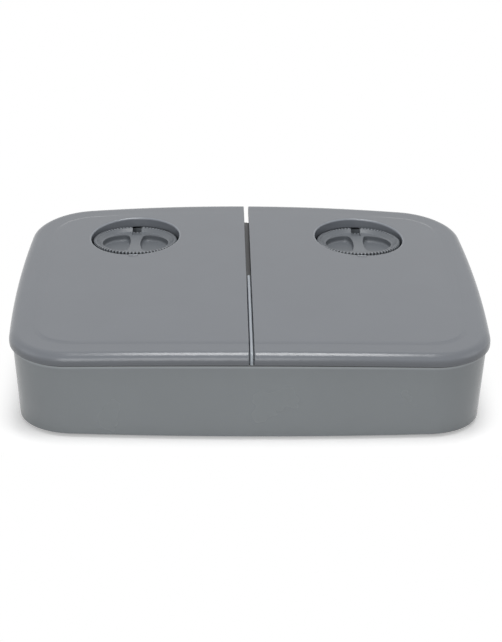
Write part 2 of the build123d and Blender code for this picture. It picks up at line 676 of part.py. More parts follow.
# Torsion coils on the hinge pins
SPRING_START = KNUCKLE_PLACES[0] + KNUCKLE_LENGTH / 2 + 4.0
SPRING_RADIUS = PIN_RADIUS + 0.6
SPRING_WIRE = 0.4
SPRING_PITCH = 1.6
SPRING_TURNS = 5
with BuildPart() as lid_spring_right:
    lift = coil(SPRING_RADIUS, SPRING_WIRE, SPRING_PITCH, SPRING_TURNS)
    add(lift.moved(Location((SPRING_START, HINGE_Y, HINGE_Z), (0, 90, 0))))
lid_spring_right.part.label = "lid_spring_right"

with BuildPart() as lid_spring_left:
    mirror(lid_spring_right.part, about=Plane.YZ)
lid_spring_left.part.label = "lid_spring_left"

# Dials
SPINDLE_TOP = FLANGE_TOP + 3.5
CORE_RADIUS = DIAL_RADIUS - 1.9
BEVEL_TOP = DIAL_RADIUS - KNURL_BEVEL
RELEASE_WIDTH = TONGUE_WIDTH + 1.8
RELEASE_START = DIAL_RADIUS + 0.1
NOTCH_MARGIN = 1.0
NOTCH_FLOOR = 0.6
knurl_corners = []
for tooth in range(KNURL_TEETH):
    for share, radius in ((-0.36, 0), (-0.16, 1), (0.16, 1), (0.36, 0)):
        angle = math.tau * (tooth + share) / KNURL_TEETH
        reach = DIAL_RADIUS - KNURL_DEPTH * (1 - radius)
        knurl_corners.append((reach * math.cos(angle), reach * math.sin(angle)))

with BuildPart() as dial:
    with BuildSketch(Plane.XY.offset(DIAL_TOP - KNURL_HEIGHT)):
        with BuildLine():
            Polyline(*knurl_corners, close=True)
        make_face()
    extrude(amount=KNURL_HEIGHT)
    # A cone bevels the tops of the teeth
    with Locations((0, 0, DIAL_TOP - KNURL_HEIGHT / 2)):
        Cone(BEVEL_TOP + KNURL_HEIGHT, BEVEL_TOP, KNURL_HEIGHT, mode=Mode.INTERSECT)
    with BuildSketch(Plane.XY.offset(FLANGE_BOTTOM)):
        Circle(CORE_RADIUS)
    extrude(amount=DIAL_TOP - FLANGE_BOTTOM)
    # Shallow dish inside the knurled rim, with sloping sides
    dish_radius = DIAL_RADIUS - RIM_WIDTH
    with Locations((0, 0, DIAL_TOP - DISH_DEPTH / 2)):
        Cone(dish_radius - DISH_RUN, dish_radius, DISH_DEPTH, mode=Mode.SUBTRACT)
    dish_floor_edge = dial.edges().filter_by(GeomType.CIRCLE).filter_by(
        lambda edge: abs(edge.center().Z - (DIAL_TOP - DISH_DEPTH)) < 0.01
    )
    fillet(dish_floor_edge, DISH_ROUNDING)
    with BuildSketch(Plane.XY.offset(FLANGE_BOTTOM)):
        Circle(FLANGE_RADIUS)
        with Locations((0, -RELEASE_START)):
            Rectangle(RELEASE_WIDTH, FLANGE_RADIUS, align=(Align.CENTER, Align.MAX), mode=Mode.SUBTRACT)
    extrude(amount=FLANGE_TOP - FLANGE_BOTTOM)
    with BuildSketch(Plane.XY.offset(WELL_FLOOR + FIT_GAP)):
        Circle(HUB_RADIUS)
    extrude(amount=FLANGE_BOTTOM - WELL_FLOOR - FIT_GAP)
    # Index notch at the back of the rim
    with BuildSketch(Plane.XY.offset(DIAL_TOP)):
        with Locations((0, DIAL_RADIUS + NOTCH_MARGIN)):
            Rectangle(NOTCH_WIDTH, NOTCH_LENGTH + NOTCH_MARGIN, align=(Align.CENTER, Align.MAX))
    extrude(amount=-KNURL_HEIGHT + NOTCH_FLOOR, mode=Mode.SUBTRACT)
    # Two finger hollows, each nearly straight along the bridge between them
    for side in (-1, 1):
        with BuildSketch(Plane.XY.offset(DIAL_TOP)) as hollow_sketch:
            with Locations((side * (BRIDGE_WIDTH / 2 + HOLLOW_WIDTH - HOLLOW_ROUND), 0)):
                Circle(HOLLOW_ROUND)
            with Locations((side * (BRIDGE_WIDTH / 2 + HOLLOW_FLANK), 0)):
                Circle(HOLLOW_FLANK, mode=Mode.INTERSECT)
            fillet(hollow_sketch.vertices(), HOLLOW_CORNER)
        extrude(amount=-HOLLOW_DEPTH, mode=Mode.SUBTRACT)
    hollow_floors = [
        face
        for face in dial.faces().filter_by(Axis.Z)
        if abs(face.center().Z - (DIAL_TOP - HOLLOW_DEPTH)) < 0.01 and face.normal_at().Z > 0
    ]
    fillet([edge for face in hollow_floors for edge in face.edges()], HOLLOW_FLOOR_ROUNDING)
    with BuildSketch(Plane.XY.offset(WELL_FLOOR)):
        Circle(SPINDLE_RADIUS)
    extrude(amount=SPINDLE_TOP - WELL_FLOOR, mode=Mode.SUBTRACT)

with BuildPart() as dial_left:
    add(dial.part.moved(Location((-DIAL_X, DIAL_Y, 0))))
dial_left.part.label = "dial_left"

with BuildPart() as dial_right:
    add(dial.part.moved(Location((DIAL_X, DIAL_Y, 0))))
dial_right.part.label = "dial_right"

# Timer of the right dial, mirrored for the left one
CASE_TOP = PAD_BOTTOM
CASE_BOTTOM = CASE_TOP - 20.0
COVER_BOTTOM = CASE_BOTTOM - CASE_WALL
WHEEL_BOTTOM = CASE_TOP - 6.0
STEP_BOTTOM = WHEEL_BOTTOM - 5.0
TRAIN_TURN = math.radians(150)
MOTOR_TURN = math.radians(-110)
TRAIN_REACH = (WHEEL_TEETH + PINION_TEETH) * GEAR_MODULE / 2
MOTOR_REACH = (WHEEL_TEETH + PINION_TEETH) * SMALL_MODULE / 2
IDLER_X = DIAL_X + TRAIN_REACH * math.cos(TRAIN_TURN)
IDLER_Y = DIAL_Y + TRAIN_REACH * math.sin(TRAIN_TURN)
MOTOR_X = IDLER_X + MOTOR_REACH * math.cos(MOTOR_TURN)
MOTOR_Y = IDLER_Y + MOTOR_REACH * math.sin(MOTOR_TURN)
ARBOR_RADIUS = 1.2
MOTOR_RADIUS = 7.5
MOTOR_TOP = CASE_BOTTOM + 6.0

with BuildPart() as timer_case_right:
    with BuildSketch(Plane.XY.offset(CASE_BOTTOM)):
        with Locations((PAD_X, PAD_Y)):
            RectangleRounded(CASE_WIDTH, CASE_DEPTH, CASE_CORNER)
    extrude(amount=CASE_TOP - CASE_BOTTOM)
    with BuildSketch(Plane.XY.offset(CASE_BOTTOM)):
        with Locations((PAD_X, PAD_Y)):
            Rectangle(CASE_WIDTH - 2 * CASE_WALL, CASE_DEPTH - 2 * CASE_WALL)
            with Locations(*CASE_SCREWS):
                Circle(3.4, mode=Mode.SUBTRACT)
    extrude(amount=CASE_TOP - CASE_BOTTOM - CASE_WALL, mode=Mode.SUBTRACT)
    with BuildSketch(Plane.XY.offset(WHEEL_BOTTOM + 3.6)):
        with Locations((IDLER_X, IDLER_Y)):
            Circle(3.0)
        with Locations((DIAL_X, DIAL_Y)):
            Circle(SPINDLE_RADIUS + 2.0)
    extrude(amount=CASE_TOP - WHEEL_BOTTOM - 3.6 - 0.5)
    with BuildSketch(Plane.XY.offset(CASE_BOTTOM)):
        with Locations((PAD_X, PAD_Y)):
            with Locations(*CASE_SCREWS):
                Circle(1.3)
        with Locations((DIAL_X, DIAL_Y)):
            Circle(SPINDLE_RADIUS + RUNNING_GAP)
    extrude(amount=CASE_TOP - CASE_BOTTOM, mode=Mode.SUBTRACT)
    with BuildSketch(Plane.XY.offset(WHEEL_BOTTOM)):
        with Locations((IDLER_X, IDLER_Y)):
            Circle(ARBOR_RADIUS + RUNNING_GAP)
    extrude(amount=CASE_TOP - WHEEL_BOTTOM - 1.0, mode=Mode.SUBTRACT)
timer_case_right.part.label = "timer_case_right"

with BuildPart() as timer_cover_right:
    with BuildSketch(Plane.XY.offset(COVER_BOTTOM)):
        with Locations((PAD_X, PAD_Y)):
            RectangleRounded(CASE_WIDTH, CASE_DEPTH, CASE_CORNER)
    extrude(amount=CASE_WALL)
    with BuildSketch(Plane.XY.offset(CASE_BOTTOM)):
        with Locations((IDLER_X, IDLER_Y)):
            Circle(3.0)
        with Locations((DIAL_X, DIAL_Y)):
            Circle(SPINDLE_RADIUS + 1.0)
    extrude(amount=STEP_BOTTOM - CASE_BOTTOM - 0.6)
    with BuildSketch(Plane.XY.offset(COVER_BOTTOM + 1.0)):
        with Locations((IDLER_X, IDLER_Y)):
            Circle(ARBOR_RADIUS + RUNNING_GAP)
        with Locations((DIAL_X, DIAL_Y)):
            Circle(SPINDLE_RADIUS / 2 + RUNNING_GAP)
    extrude(amount=CASE_TOP - CASE_BOTTOM, mode=Mode.SUBTRACT)
    with BuildSketch(Plane.XY.offset(COVER_BOTTOM)):
        with Locations((PAD_X, PAD_Y)):
            with Locations(*CASE_SCREWS):
                Circle(1.3)
    extrude(amount=CASE_WALL, mode=Mode.SUBTRACT)
timer_cover_right.part.label = "timer_cover_right"

with BuildPart() as timer_screws_right:
    with BuildSketch(Plane.XY.offset(COVER_BOTTOM - 1.6)):
        with Locations((PAD_X, PAD_Y)):
            with Locations(*CASE_SCREWS):
                Circle(2.4)
    extrude(amount=1.6)
    with BuildSketch(Plane.XY.offset(COVER_BOTTOM)):
        with Locations((PAD_X, PAD_Y)):
            with Locations(*CASE_SCREWS):
                Circle(1.2)
    extrude(amount=PAD_BOTTOM + PAD_THICKNESS - 1.2 - COVER_BOTTOM)
timer_screws_right.part.label = "timer_screws_right"

with BuildPart() as spindle_right:
    with BuildSketch(Plane.XY.offset(WHEEL_BOTTOM)):
        add(gear_outline(WHEEL_TEETH, GEAR_MODULE, TRAIN_TURN).moved(Location((DIAL_X, DIAL_Y, 0))))
    extrude(amount=2.4)
    with BuildSketch(Plane.XY.offset(STEP_BOTTOM)):
        with Locations((DIAL_X, DIAL_Y)):
            Circle(SPINDLE_RADIUS)
    extrude(amount=SPINDLE_TOP - STEP_BOTTOM)
    with BuildSketch(Plane.XY.offset(COVER_BOTTOM + 1.2)):
        with Locations((DIAL_X, DIAL_Y)):
            Circle(SPINDLE_RADIUS / 2)
    extrude(amount=STEP_BOTTOM - COVER_BOTTOM - 1.2)
spindle_right.part.label = "spindle_right"

with BuildPart() as idler_gear_right:
    mesh_turn = TRAIN_TURN + math.pi + math.pi / PINION_TEETH
    with BuildSketch(Plane.XY.offset(WHEEL_BOTTOM - 0.6)):
        add(gear_outline(PINION_TEETH, GEAR_MODULE, mesh_turn).moved(Location((IDLER_X, IDLER_Y, 0))))
    extrude(amount=3.6)
    with BuildSketch(Plane.XY.offset(STEP_BOTTOM)):
        add(gear_outline(WHEEL_TEETH, SMALL_MODULE, MOTOR_TURN).moved(Location((IDLER_X, IDLER_Y, 0))))
    extrude(amount=2.0)
    with BuildSketch(Plane.XY.offset(COVER_BOTTOM + 1.2)):
        with Locations((IDLER_X, IDLER_Y)):
            Circle(ARBOR_RADIUS)
    extrude(amount=CASE_TOP - 1.2 - COVER_BOTTOM - 1.2)
    with BuildSketch(Plane.XY.offset(STEP_BOTTOM)):
        with Locations((IDLER_X, IDLER_Y)):
            Circle(ARBOR_RADIUS + 1.4)
    extrude(amount=WHEEL_BOTTOM - STEP_BOTTOM)
idler_gear_right.part.label = "idler_gear_right"

with BuildPart() as motor_pinion_right:
    motor_mesh = MOTOR_TURN + math.pi + math.pi / PINION_TEETH
    with BuildSketch(Plane.XY.offset(STEP_BOTTOM - 0.6)):
        add(gear_outline(PINION_TEETH, SMALL_MODULE, motor_mesh).moved(Location((MOTOR_X, MOTOR_Y, 0))))
    extrude(amount=3.2)
    with BuildSketch(Plane.XY.offset(MOTOR_TOP - 3.0)):
        with Locations((MOTOR_X, MOTOR_Y)):
            Circle(0.9)
    extrude(amount=STEP_BOTTOM - 0.6 - MOTOR_TOP + 3.0)
motor_pinion_right.part.label = "motor_pinion_right"

with BuildPart() as motor_right:
    with BuildSketch(Plane.XY.offset(CASE_BOTTOM)):
        with Locations((MOTOR_X, MOTOR_Y)):
            Circle(MOTOR_RADIUS)
    extrude(amount=MOTOR_TOP - CASE_BOTTOM - 1.0)
    with BuildSketch(Plane.XY.offset(MOTOR_TOP - 1.0)):
        with Locations((MOTOR_X, MOTOR_Y)):
            Circle(2.5)
    extrude(amount=1.0)
    with BuildSketch(Plane.XY.offset(MOTOR_TOP)):
        with Locations((MOTOR_X, MOTOR_Y)):
            Circle(0.9 + RUNNING_GAP)
    extrude(amount=-3.2, mode=Mode.SUBTRACT)
motor_right.part.label = "motor_right"

with BuildPart() as timer_case_left:
    mirror(timer_case_right.part, about=Plane.YZ)
timer_case_left.part.label = "timer_case_left"

with BuildPart() as timer_cover_left:
    mirror(timer_cover_right.part, about=Plane.YZ)
timer_cover_left.part.label = "timer_cover_left"

with BuildPart() as timer_screws_left:
    mirror(timer_screws_right.part, about=Plane.YZ)
timer_screws_left.part.label = "timer_screws_left"

with BuildPart() as spindle_left:
    mirror(spindle_right.part, about=Plane.YZ)
spindle_left.part.label = "spindle_left"

with BuildPart() as idler_gear_left:
    mirror(idler_gear_right.part, about=Plane.YZ)
idler_gear_left.part.label = "idler_gear_left"

with BuildPart() as motor_pinion_left:
    mirror(motor_pinion_right.part, about=Plane.YZ)
motor_pinion_left.part.label = "motor_pinion_left"

with BuildPart() as motor_left:
    mirror(motor_right.part, about=Plane.YZ)
motor_left.part.label = "motor_left"

# Battery, contacts and the sliding door
CELL_START = -CELL_LENGTH / 2 + 0.8
CELL_PLANE = Plane(origin=(CELL_START, BATTERY_Y, BATTERY_Z), x_dir=(0, 1, 0), z_dir=(1, 0, 0))
with BuildPart() as battery:
    with BuildSketch(CELL_PLANE):
        Circle(CELL_RADIUS)
    extrude(amount=CELL_LENGTH - 1.0)
    chamfer(battery.edges(), 0.5)
    with BuildSketch(CELL_PLANE.offset(CELL_LENGTH - 1.0)):
        Circle(2.7)
    extrude(amount=1.0)
battery.part.label = "battery"

with BuildPart() as contact_plates:
    for end_x, turn in ((-BAY_LENGTH / 2, 1), (BAY_LENGTH / 2, -1)):
        with Locations((end_x + turn * 0.25, BATTERY_Y, BATTERY_Z)):
            Box(0.5, 10.0, 10.0)
    with Locations((BAY_LENGTH / 2 - 0.5, BATTERY_Y, BATTERY_Z)):
        Box(BAY_LENGTH / 2 - 0.5 - CELL_START - CELL_LENGTH, 4.0, 4.0,
            align=(Align.MAX, Align.CENTER, Align.CENTER))
contact_plates.part.label = "contact_plates"

CONTACT_SPACE = CELL_START + BAY_LENGTH / 2 - 0.5
with BuildPart() as contact_spring:
    push = coil(3.2, 0.35, (CONTACT_SPACE - 0.7) / 3, 3)
    add(push.moved(Location((-BAY_LENGTH / 2 + 0.5 + 0.35, BATTERY_Y, BATTERY_Z), (0, 90, 0))))
contact_spring.part.label = "contact_spring"

with BuildPart() as battery_door:
    with BuildSketch(Plane.XY.offset(FOOT_HEIGHT)):
        with Locations((0, BATTERY_Y)):
            Rectangle(DOOR_LENGTH - 2 * DOOR_BEVEL, DOOR_WIDTH)
    with BuildSketch(Plane.XY.offset(FOOT_HEIGHT + DOOR_THICKNESS)):
        with Locations((0, BATTERY_Y)):
            Rectangle(DOOR_LENGTH, DOOR_WIDTH)
    loft()
    with BuildSketch(Plane.XY.offset(FOOT_HEIGHT + DOOR_THICKNESS)):
        with Locations((-BAY_LENGTH / 4, BATTERY_Y - 3.0), (BAY_LENGTH / 4, BATTERY_Y - 3.0)):
            Rectangle(6.0, 5.0)
    extrude(amount=BATTERY_Z - CELL_RADIUS - FOOT_HEIGHT - DOOR_THICKNESS - 0.05)
    with BuildSketch(Plane.XY.offset(FOOT_HEIGHT)):
        with Locations((0, BATTERY_Y + 6.0)):
            with GridLocations(0, 2.4, 1, 3):
                Rectangle(18.0, 1.0)
    extrude(amount=0.5, mode=Mode.SUBTRACT)
battery_door.part.label = "battery_door"

export_step(base_shell.part, "parts/base_shell.step")
export_step(feet.part, "parts/feet.step")
export_step(deck.part, "parts/deck.step")
export_step(deck_screws.part, "parts/deck_screws.step")
export_step(tray_left.part, "parts/tray_left.step")
export_step(tray_right.part, "parts/tray_right.step")
export_step(lid_left.part, "parts/lid_left.step")
export_step(lid_right.part, "parts/lid_right.step")
export_step(lid_gasket_left.part, "parts/lid_gasket_left.step")
export_step(lid_gasket_right.part, "parts/lid_gasket_right.step")
export_step(hinge_pin_left.part, "parts/hinge_pin_left.step")
export_step(hinge_pin_right.part, "parts/hinge_pin_right.step")
export_step(lid_spring_left.part, "parts/lid_spring_left.step")
export_step(lid_spring_right.part, "parts/lid_spring_right.step")
export_step(dial_left.part, "parts/dial_left.step")
export_step(dial_right.part, "parts/dial_right.step")
export_step(timer_case_left.part, "parts/timer_case_left.step")
export_step(timer_case_right.part, "parts/timer_case_right.step")
export_step(timer_cover_left.part, "parts/timer_cover_left.step")
export_step(timer_cover_right.part, "parts/timer_cover_right.step")
export_step(timer_screws_left.part, "parts/timer_screws_left.step")
export_step(timer_screws_right.part, "parts/timer_screws_right.step")
export_step(spindle_left.part, "parts/spindle_left.step")
export_step(spindle_right.part, "parts/spindle_right.step")
export_step(idler_gear_left.part, "parts/idler_gear_left.step")
export_step(idler_gear_right.part, "parts/idler_gear_right.step")
export_step(motor_pinion_left.part, "parts/motor_pinion_left.step")
export_step(motor_pinion_right.part, "parts/motor_pinion_right.step")
export_step(motor_left.part, "parts/motor_left.step")
export_step(motor_right.part, "parts/motor_right.step")
export_step(battery.part, "parts/battery.step")
export_step(contact_plates.part, "parts/contact_plates.step")
export_step(contact_spring.part, "parts/contact_spring.step")
export_step(battery_door.part, "parts/battery_door.step")
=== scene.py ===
# %% [markdown]
# # A two-meal pet feeder
#
# The feeder is a low wedge of grey moulded plastic with two hinged lids. Each lid has a round
# hole with a timer dial in it. The solids come ready made from the CAD frame, in metres, and
# this file gives them their camera, their light and their finishes.

# %% Load the frame
import json
from math import pi

import bmesh
import bpy
from mathutils import Matrix, Vector


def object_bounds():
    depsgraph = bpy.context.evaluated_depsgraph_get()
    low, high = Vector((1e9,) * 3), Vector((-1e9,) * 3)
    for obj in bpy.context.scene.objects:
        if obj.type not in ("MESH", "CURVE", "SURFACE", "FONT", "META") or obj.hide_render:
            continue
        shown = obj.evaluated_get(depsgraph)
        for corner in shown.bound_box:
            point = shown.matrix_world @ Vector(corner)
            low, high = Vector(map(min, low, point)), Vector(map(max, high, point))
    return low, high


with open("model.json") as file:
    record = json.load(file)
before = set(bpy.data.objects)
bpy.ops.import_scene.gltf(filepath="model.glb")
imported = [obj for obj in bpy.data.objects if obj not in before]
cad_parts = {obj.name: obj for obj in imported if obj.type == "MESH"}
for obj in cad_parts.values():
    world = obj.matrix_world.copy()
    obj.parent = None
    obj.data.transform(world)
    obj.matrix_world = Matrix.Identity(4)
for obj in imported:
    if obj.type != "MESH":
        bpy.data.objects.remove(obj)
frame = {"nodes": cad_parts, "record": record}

scene = bpy.context.scene
nodes = frame["nodes"]
cad_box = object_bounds()
print("nodes:", len(nodes), "box:", cad_box)

# %% [markdown]
# ## The camera
#
# The camera was fitted to the outline of the feeder: it stands a little left of the middle,
# about one metre in front, and looks down by 21 degrees. The lens is long, so the sides of
# the wedge hardly converge. A target that the camera tracks would be shorter to write, but it
# can't give the slight roll of the picture. So three turns are used: one about Z for the
# heading, one about X for the tilt, and a last one about the camera's own axis for the roll.

# %% Camera
CAMERA_PLACE = Vector((-0.0240, -1.0808, 0.4616))
HEADING = 0.0242
TILT_DOWN = 0.3734
ROLL = 0.0121
FOCAL_PIXELS = 1600
PICTURE_HEIGHT = 642
SENSOR = 36.0

camera_data = bpy.data.cameras.new("photo_camera")
camera_data.sensor_width = SENSOR
camera_data.lens = FOCAL_PIXELS * SENSOR / PICTURE_HEIGHT
camera = bpy.data.objects.new("photo_camera", camera_data)
camera.matrix_world = (
    Matrix.Translation(CAMERA_PLACE)
    @ Matrix.Rotation(-HEADING, 4, "Z")
    @ Matrix.Rotation(pi / 2 - TILT_DOWN, 4, "X")
    @ Matrix.Rotation(ROLL, 4, "Z")
)
scene.collection.objects.link(camera)
scene.camera = camera
scene.view_settings.view_transform = "Standard"
print("lens in mm:", round(camera_data.lens, 1))

# %% [markdown]
# ## Colours and nodes
#
# A colour is written as the hex value that a picture program shows. Blender's shaders want
# linear light, so one function turns the hex value into it. A second small function adds a
# shader node, sets its sockets and joins its links, which keeps each material short to read.

# %% Colour and node helpers
def linear(hex_colour):
    channels = [int(hex_colour[i:i + 2], 16) / 255 for i in (1, 3, 5)]
    return [c / 12.92 if c <= 0.04045 else ((c + 0.055) / 1.055) ** 2.4 for c in channels] + [1.0]


def add_node(tree, kind, settings=None, values=None, links=None):
    node = tree.nodes.new(kind)
    for name, value in (settings or {}).items():
        setattr(node, name, value)
    for socket, value in (values or {}).items():
        node.inputs[socket].default_value = value
    for socket, source in (links or {}).items():
        tree.links.new(source, node.inputs[socket])
    return node


def new_material(name):
    material = bpy.data.materials.new(name)
    material.use_nodes = True
    material.node_tree.nodes.clear()
    return material

# %% [markdown]
# ## Small shader tools
#
# The painted light and shade below depend on places: how deep a point lies under the rim, or
# how far it is from a dial. A painted picture could hold such tones as well, but numbers worked
# out in the node tree stay sharp at any distance. These helpers take numbers or sockets and
# hand back the socket with the result. A ramp gives a value for each of a few stops and blends
# between them. Its colours hold half of each value, because a value may be above one. A box is
# given by its middle and by half its size.

# %% Shader arithmetic
def maths(tree, operation, *values):
    node = tree.nodes.new("ShaderNodeMath")
    node.operation = operation
    for socket, value in zip(node.inputs, values):
        if isinstance(value, (int, float)):
            socket.default_value = value
        else:
            tree.links.new(value, socket)
    return node.outputs["Value"]


def ramp(tree, value, stops, low=0.0, high=1.0):
    share = add_node(
        tree, "ShaderNodeMapRange", values={"From Min": low, "From Max": high}, links={"Value": value},
    )
    node = add_node(tree, "ShaderNodeValToRGB", links={"Fac": share.outputs["Result"]})
    while len(node.color_ramp.elements) < len(stops):
        node.color_ramp.elements.new(0.5)
    for element, (place, amount) in zip(node.color_ramp.elements, stops):
        element.position = (place - low) / (high - low)
        element.color = [amount / 2] * 3 + [1.0]
    return maths(tree, "MULTIPLY", node.outputs["Color"], 2.0)


def distance_from(tree, x, y, middle=(0.0, 0.0)):
    away_x = maths(tree, "SUBTRACT", x, middle[0])
    away_y = maths(tree, "SUBTRACT", y, middle[1])
    square_x = maths(tree, "MULTIPLY", away_x, away_x)
    square_y = maths(tree, "MULTIPLY", away_y, away_y)
    return maths(tree, "SQRT", maths(tree, "ADD", square_x, square_y))


def inside_box(tree, x, y, middle, half_size):
    along_x = maths(tree, "COMPARE", x, middle[0], half_size[0])
    along_y = maths(tree, "COMPARE", y, middle[1], half_size[1])
    return maths(tree, "MULTIPLY", along_x, along_y)


def blend_number(tree, share, first, second):
    step = maths(tree, "SUBTRACT", second, first)
    return maths(tree, "MULTIPLY_ADD", step, share, first)

# %% [markdown]
# ## Places on a piece
#
# A place is read from the Object coordinates, so a tone stays on its piece when a lid opens or
# a dial turns. It is given in millimetres. The feeder is the same on both sides, so x is taken
# without its sign, and each tone is written once for both halves. The normal is turned into
# the piece's own axes too: its Z part says how much a face looks up.

# %% Places and slopes
MILLIMETRE = 0.001


def object_place(tree):
    place = add_node(tree, "ShaderNodeTexCoord").outputs["Object"]
    split = add_node(tree, "ShaderNodeSeparateXYZ", links={"Vector": place})
    x, y, z = (maths(tree, "DIVIDE", split.outputs[axis], MILLIMETRE) for axis in "XYZ")
    return maths(tree, "ABSOLUTE", x), y, z


def upward_share(tree):
    normal = add_node(tree, "ShaderNodeNewGeometry").outputs["Normal"]
    local = add_node(
        tree, "ShaderNodeVectorTransform",
        {"vector_type": "NORMAL", "convert_from": "WORLD", "convert_to": "OBJECT"},
        links={"Vector": normal},
    )
    split = add_node(tree, "ShaderNodeSeparateXYZ", links={"Vector": local.outputs["Vector"]})
    return split.outputs["Z"]

# %% [markdown]
# ## The floor
#
# The feeder stands on a white studio sheet. A sheet that only scatters light comes out grey
# next to a white background, and one that only glows shows no shadow. So it does both: it
# scatters light as paper does, and the camera also sees it glow a little, directly or in a
# reflection. Scattered light carries none of this glow, so it doesn't light the feeder.

# %% Floor
FLOOR_HALF_SIZE = 4.0
PAPER_GLOW = 0.29
PLAIN_WHITE = 1.0
WHITE = linear("#FFFFFF")


def seen_directly(tree):
    path = add_node(tree, "ShaderNodeLightPath").outputs
    plain_or_mirrored = maths(tree, "MAXIMUM", path["Is Camera Ray"], path["Is Glossy Ray"])
    return maths(tree, "MAXIMUM", plain_or_mirrored, path["Is Transmission Ray"])


floor_mesh = bpy.data.meshes.new("studio_floor")
floor_shape = bmesh.new()
bmesh.ops.create_grid(floor_shape, x_segments=1, y_segments=1, size=FLOOR_HALF_SIZE)
floor_shape.to_mesh(floor_mesh)
floor_shape.free()
floor = bpy.data.objects.new("studio_floor", floor_mesh)
scene.collection.objects.link(floor)

paper = new_material("white_paper")
tree = paper.node_tree
seen = seen_directly(tree)
scatter = add_node(tree, "ShaderNodeBsdfDiffuse", values={"Color": linear("#F4F4F4")})
glow = add_node(tree, "ShaderNodeEmission", values={"Color": WHITE, "Strength": PAPER_GLOW})
both = add_node(tree, "ShaderNodeAddShader", links={0: scatter.outputs[0], 1: glow.outputs[0]})
near = add_node(
    tree, "ShaderNodeMixShader", links={0: seen, 1: scatter.outputs[0], 2: both.outputs[0]},
)
print("floor side in metres:", 2 * FLOOR_HALF_SIZE)

# %% [markdown]
# Away from the feeder the sheet is lost in plain white. A mask laid over the finished picture
# could do that for one view, but a mask in the material holds from every side. The distance
# to the feeder is worked out from the floor's own coordinates: what sticks out past a box a
# little smaller than the feeder counts, and a smooth step turns that distance into the share
# of plain white. The size of the feeder comes from the frame. Its triangles stay a hair
# inside the true round sides, so whole millimetres are taken.

# %% White edge of the floor
HALF_WIDTH, HALF_DEPTH = (round(half / MILLIMETRE) for half in cad_box[1][:2])
SHADOW_INSET = 15 * MILLIMETRE
SHADOW_REACH = 35 * MILLIMETRE
SHADOW_BOX = [half * MILLIMETRE - SHADOW_INSET for half in (HALF_WIDTH, HALF_DEPTH)]

place = add_node(tree, "ShaderNodeTexCoord").outputs["Object"]
split = add_node(tree, "ShaderNodeSeparateXYZ", links={"Vector": place})
past_box = []
for axis, half_size in zip("XY", SHADOW_BOX):
    past = maths(tree, "SUBTRACT", maths(tree, "ABSOLUTE", split.outputs[axis]), half_size)
    past_box.append(maths(tree, "MAXIMUM", past, 0.0))
share = add_node(
    tree, "ShaderNodeMapRange", {"interpolation_type": "SMOOTHSTEP"}, {"From Max": SHADOW_REACH},
    {"Value": distance_from(tree, *past_box)},
)
share = maths(tree, "MULTIPLY", share.outputs["Result"], seen)
far = add_node(tree, "ShaderNodeEmission", values={"Color": WHITE, "Strength": PLAIN_WHITE})
sheet = add_node(
    tree, "ShaderNodeMixShader", links={0: share, 1: near.outputs[0], 2: far.outputs[0]},
)
add_node(tree, "ShaderNodeOutputMaterial", links={"Surface": sheet.outputs[0]})
floor_mesh.materials.append(paper)
print("the shadow ends in metres at:", [round(half + SHADOW_REACH, 3) for half in SHADOW_BOX])

# %% [markdown]
# ## The room
#
# A white room lights a grey piece so evenly that its form is lost. The world is therefore two
# things: a dim room, which is all that reaches the plastic as scattered light, and a white
# backdrop, which the camera sees behind the feeder and as a reflection in the glossy edges.

# %% World
ROOM_GLOW = 0.24

world = bpy.data.worlds.new("studio")
scene.world = world
world.use_nodes = True
tree = world.node_tree
tree.nodes.clear()
room = add_node(tree, "ShaderNodeBackground", values={"Color": WHITE, "Strength": ROOM_GLOW})
backdrop = add_node(
    tree, "ShaderNodeBackground", values={"Color": WHITE, "Strength": PLAIN_WHITE},
)
studio = add_node(
    tree, "ShaderNodeMixShader",
    links={0: seen_directly(tree), 1: room.outputs[0], 2: backdrop.outputs[0]},
)
add_node(tree, "ShaderNodeOutputWorld", links={"Surface": studio.outputs[0]})
print("room and backdrop:", ROOM_GLOW, PLAIN_WHITE)

# %% [markdown]
# ## The lamps
#
# The photograph has soft light without hard shadows. Point lamps or a sun would draw such
# shadows, so all lamps are large areas, as the softboxes of a studio are. The one above lights
# the lids, the one in front lights the wall, and two weak ones keep the sides from going dull.
# Each call gives the name, the place, the point that the lamp looks at, its size and its
# power in watts.

# %% Lamps
def soft_lamp(name, place, target, size, power):
    lamp_data = bpy.data.lights.new(name, "AREA")
    lamp_data.shape = "RECTANGLE"
    lamp_data.size, lamp_data.size_y = size
    lamp_data.energy = power
    lamp = bpy.data.objects.new(name, lamp_data)
    turn = (Vector(target) - Vector(place)).to_track_quat("-Z", "Y")
    lamp.matrix_world = Matrix.Translation(place) @ turn.to_matrix().to_4x4()
    scene.collection.objects.link(lamp)


FEEDER_MIDDLE = (0.0, 0.0, 0.05)

soft_lamp("softbox_above", (0.065, -0.12, 1.6), (0.065, -0.12, 0.0), (0.74, 0.9), 16.5)
soft_lamp("fill_front", (-0.5, -2.2, 1.0), FEEDER_MIDDLE, (1.6, 1.2), 14.5)
soft_lamp("fill_left", (-1.6, -0.2, 0.7), FEEDER_MIDDLE, (0.9, 0.9), 1.2)
soft_lamp("fill_right", (1.7, -0.2, 0.7), FEEDER_MIDDLE, (0.9, 0.9), 1.2)
print("lamps:", [lamp.name for lamp in bpy.data.lights])

# %% [markdown]
# ## What the finishes share
#
# Each finish below needs the same few things: a noise that is fixed to its piece, a bump that
# turns heights into a change of the light, a spread that turns a noise into a range of
# roughness, and the surface itself. They are written once here, in place of the same nodes in
# every material.

# %% Noise, bump, spread and surface
def object_noise(tree, size, detail, vector=None):
    if vector is None:
        vector = add_node(tree, "ShaderNodeTexCoord").outputs["Object"]
    noise = add_node(
        tree, "ShaderNodeTexNoise", values={"Scale": 1 / size, "Detail": detail},
        links={"Vector": vector},
    )
    return noise.outputs["Fac"]


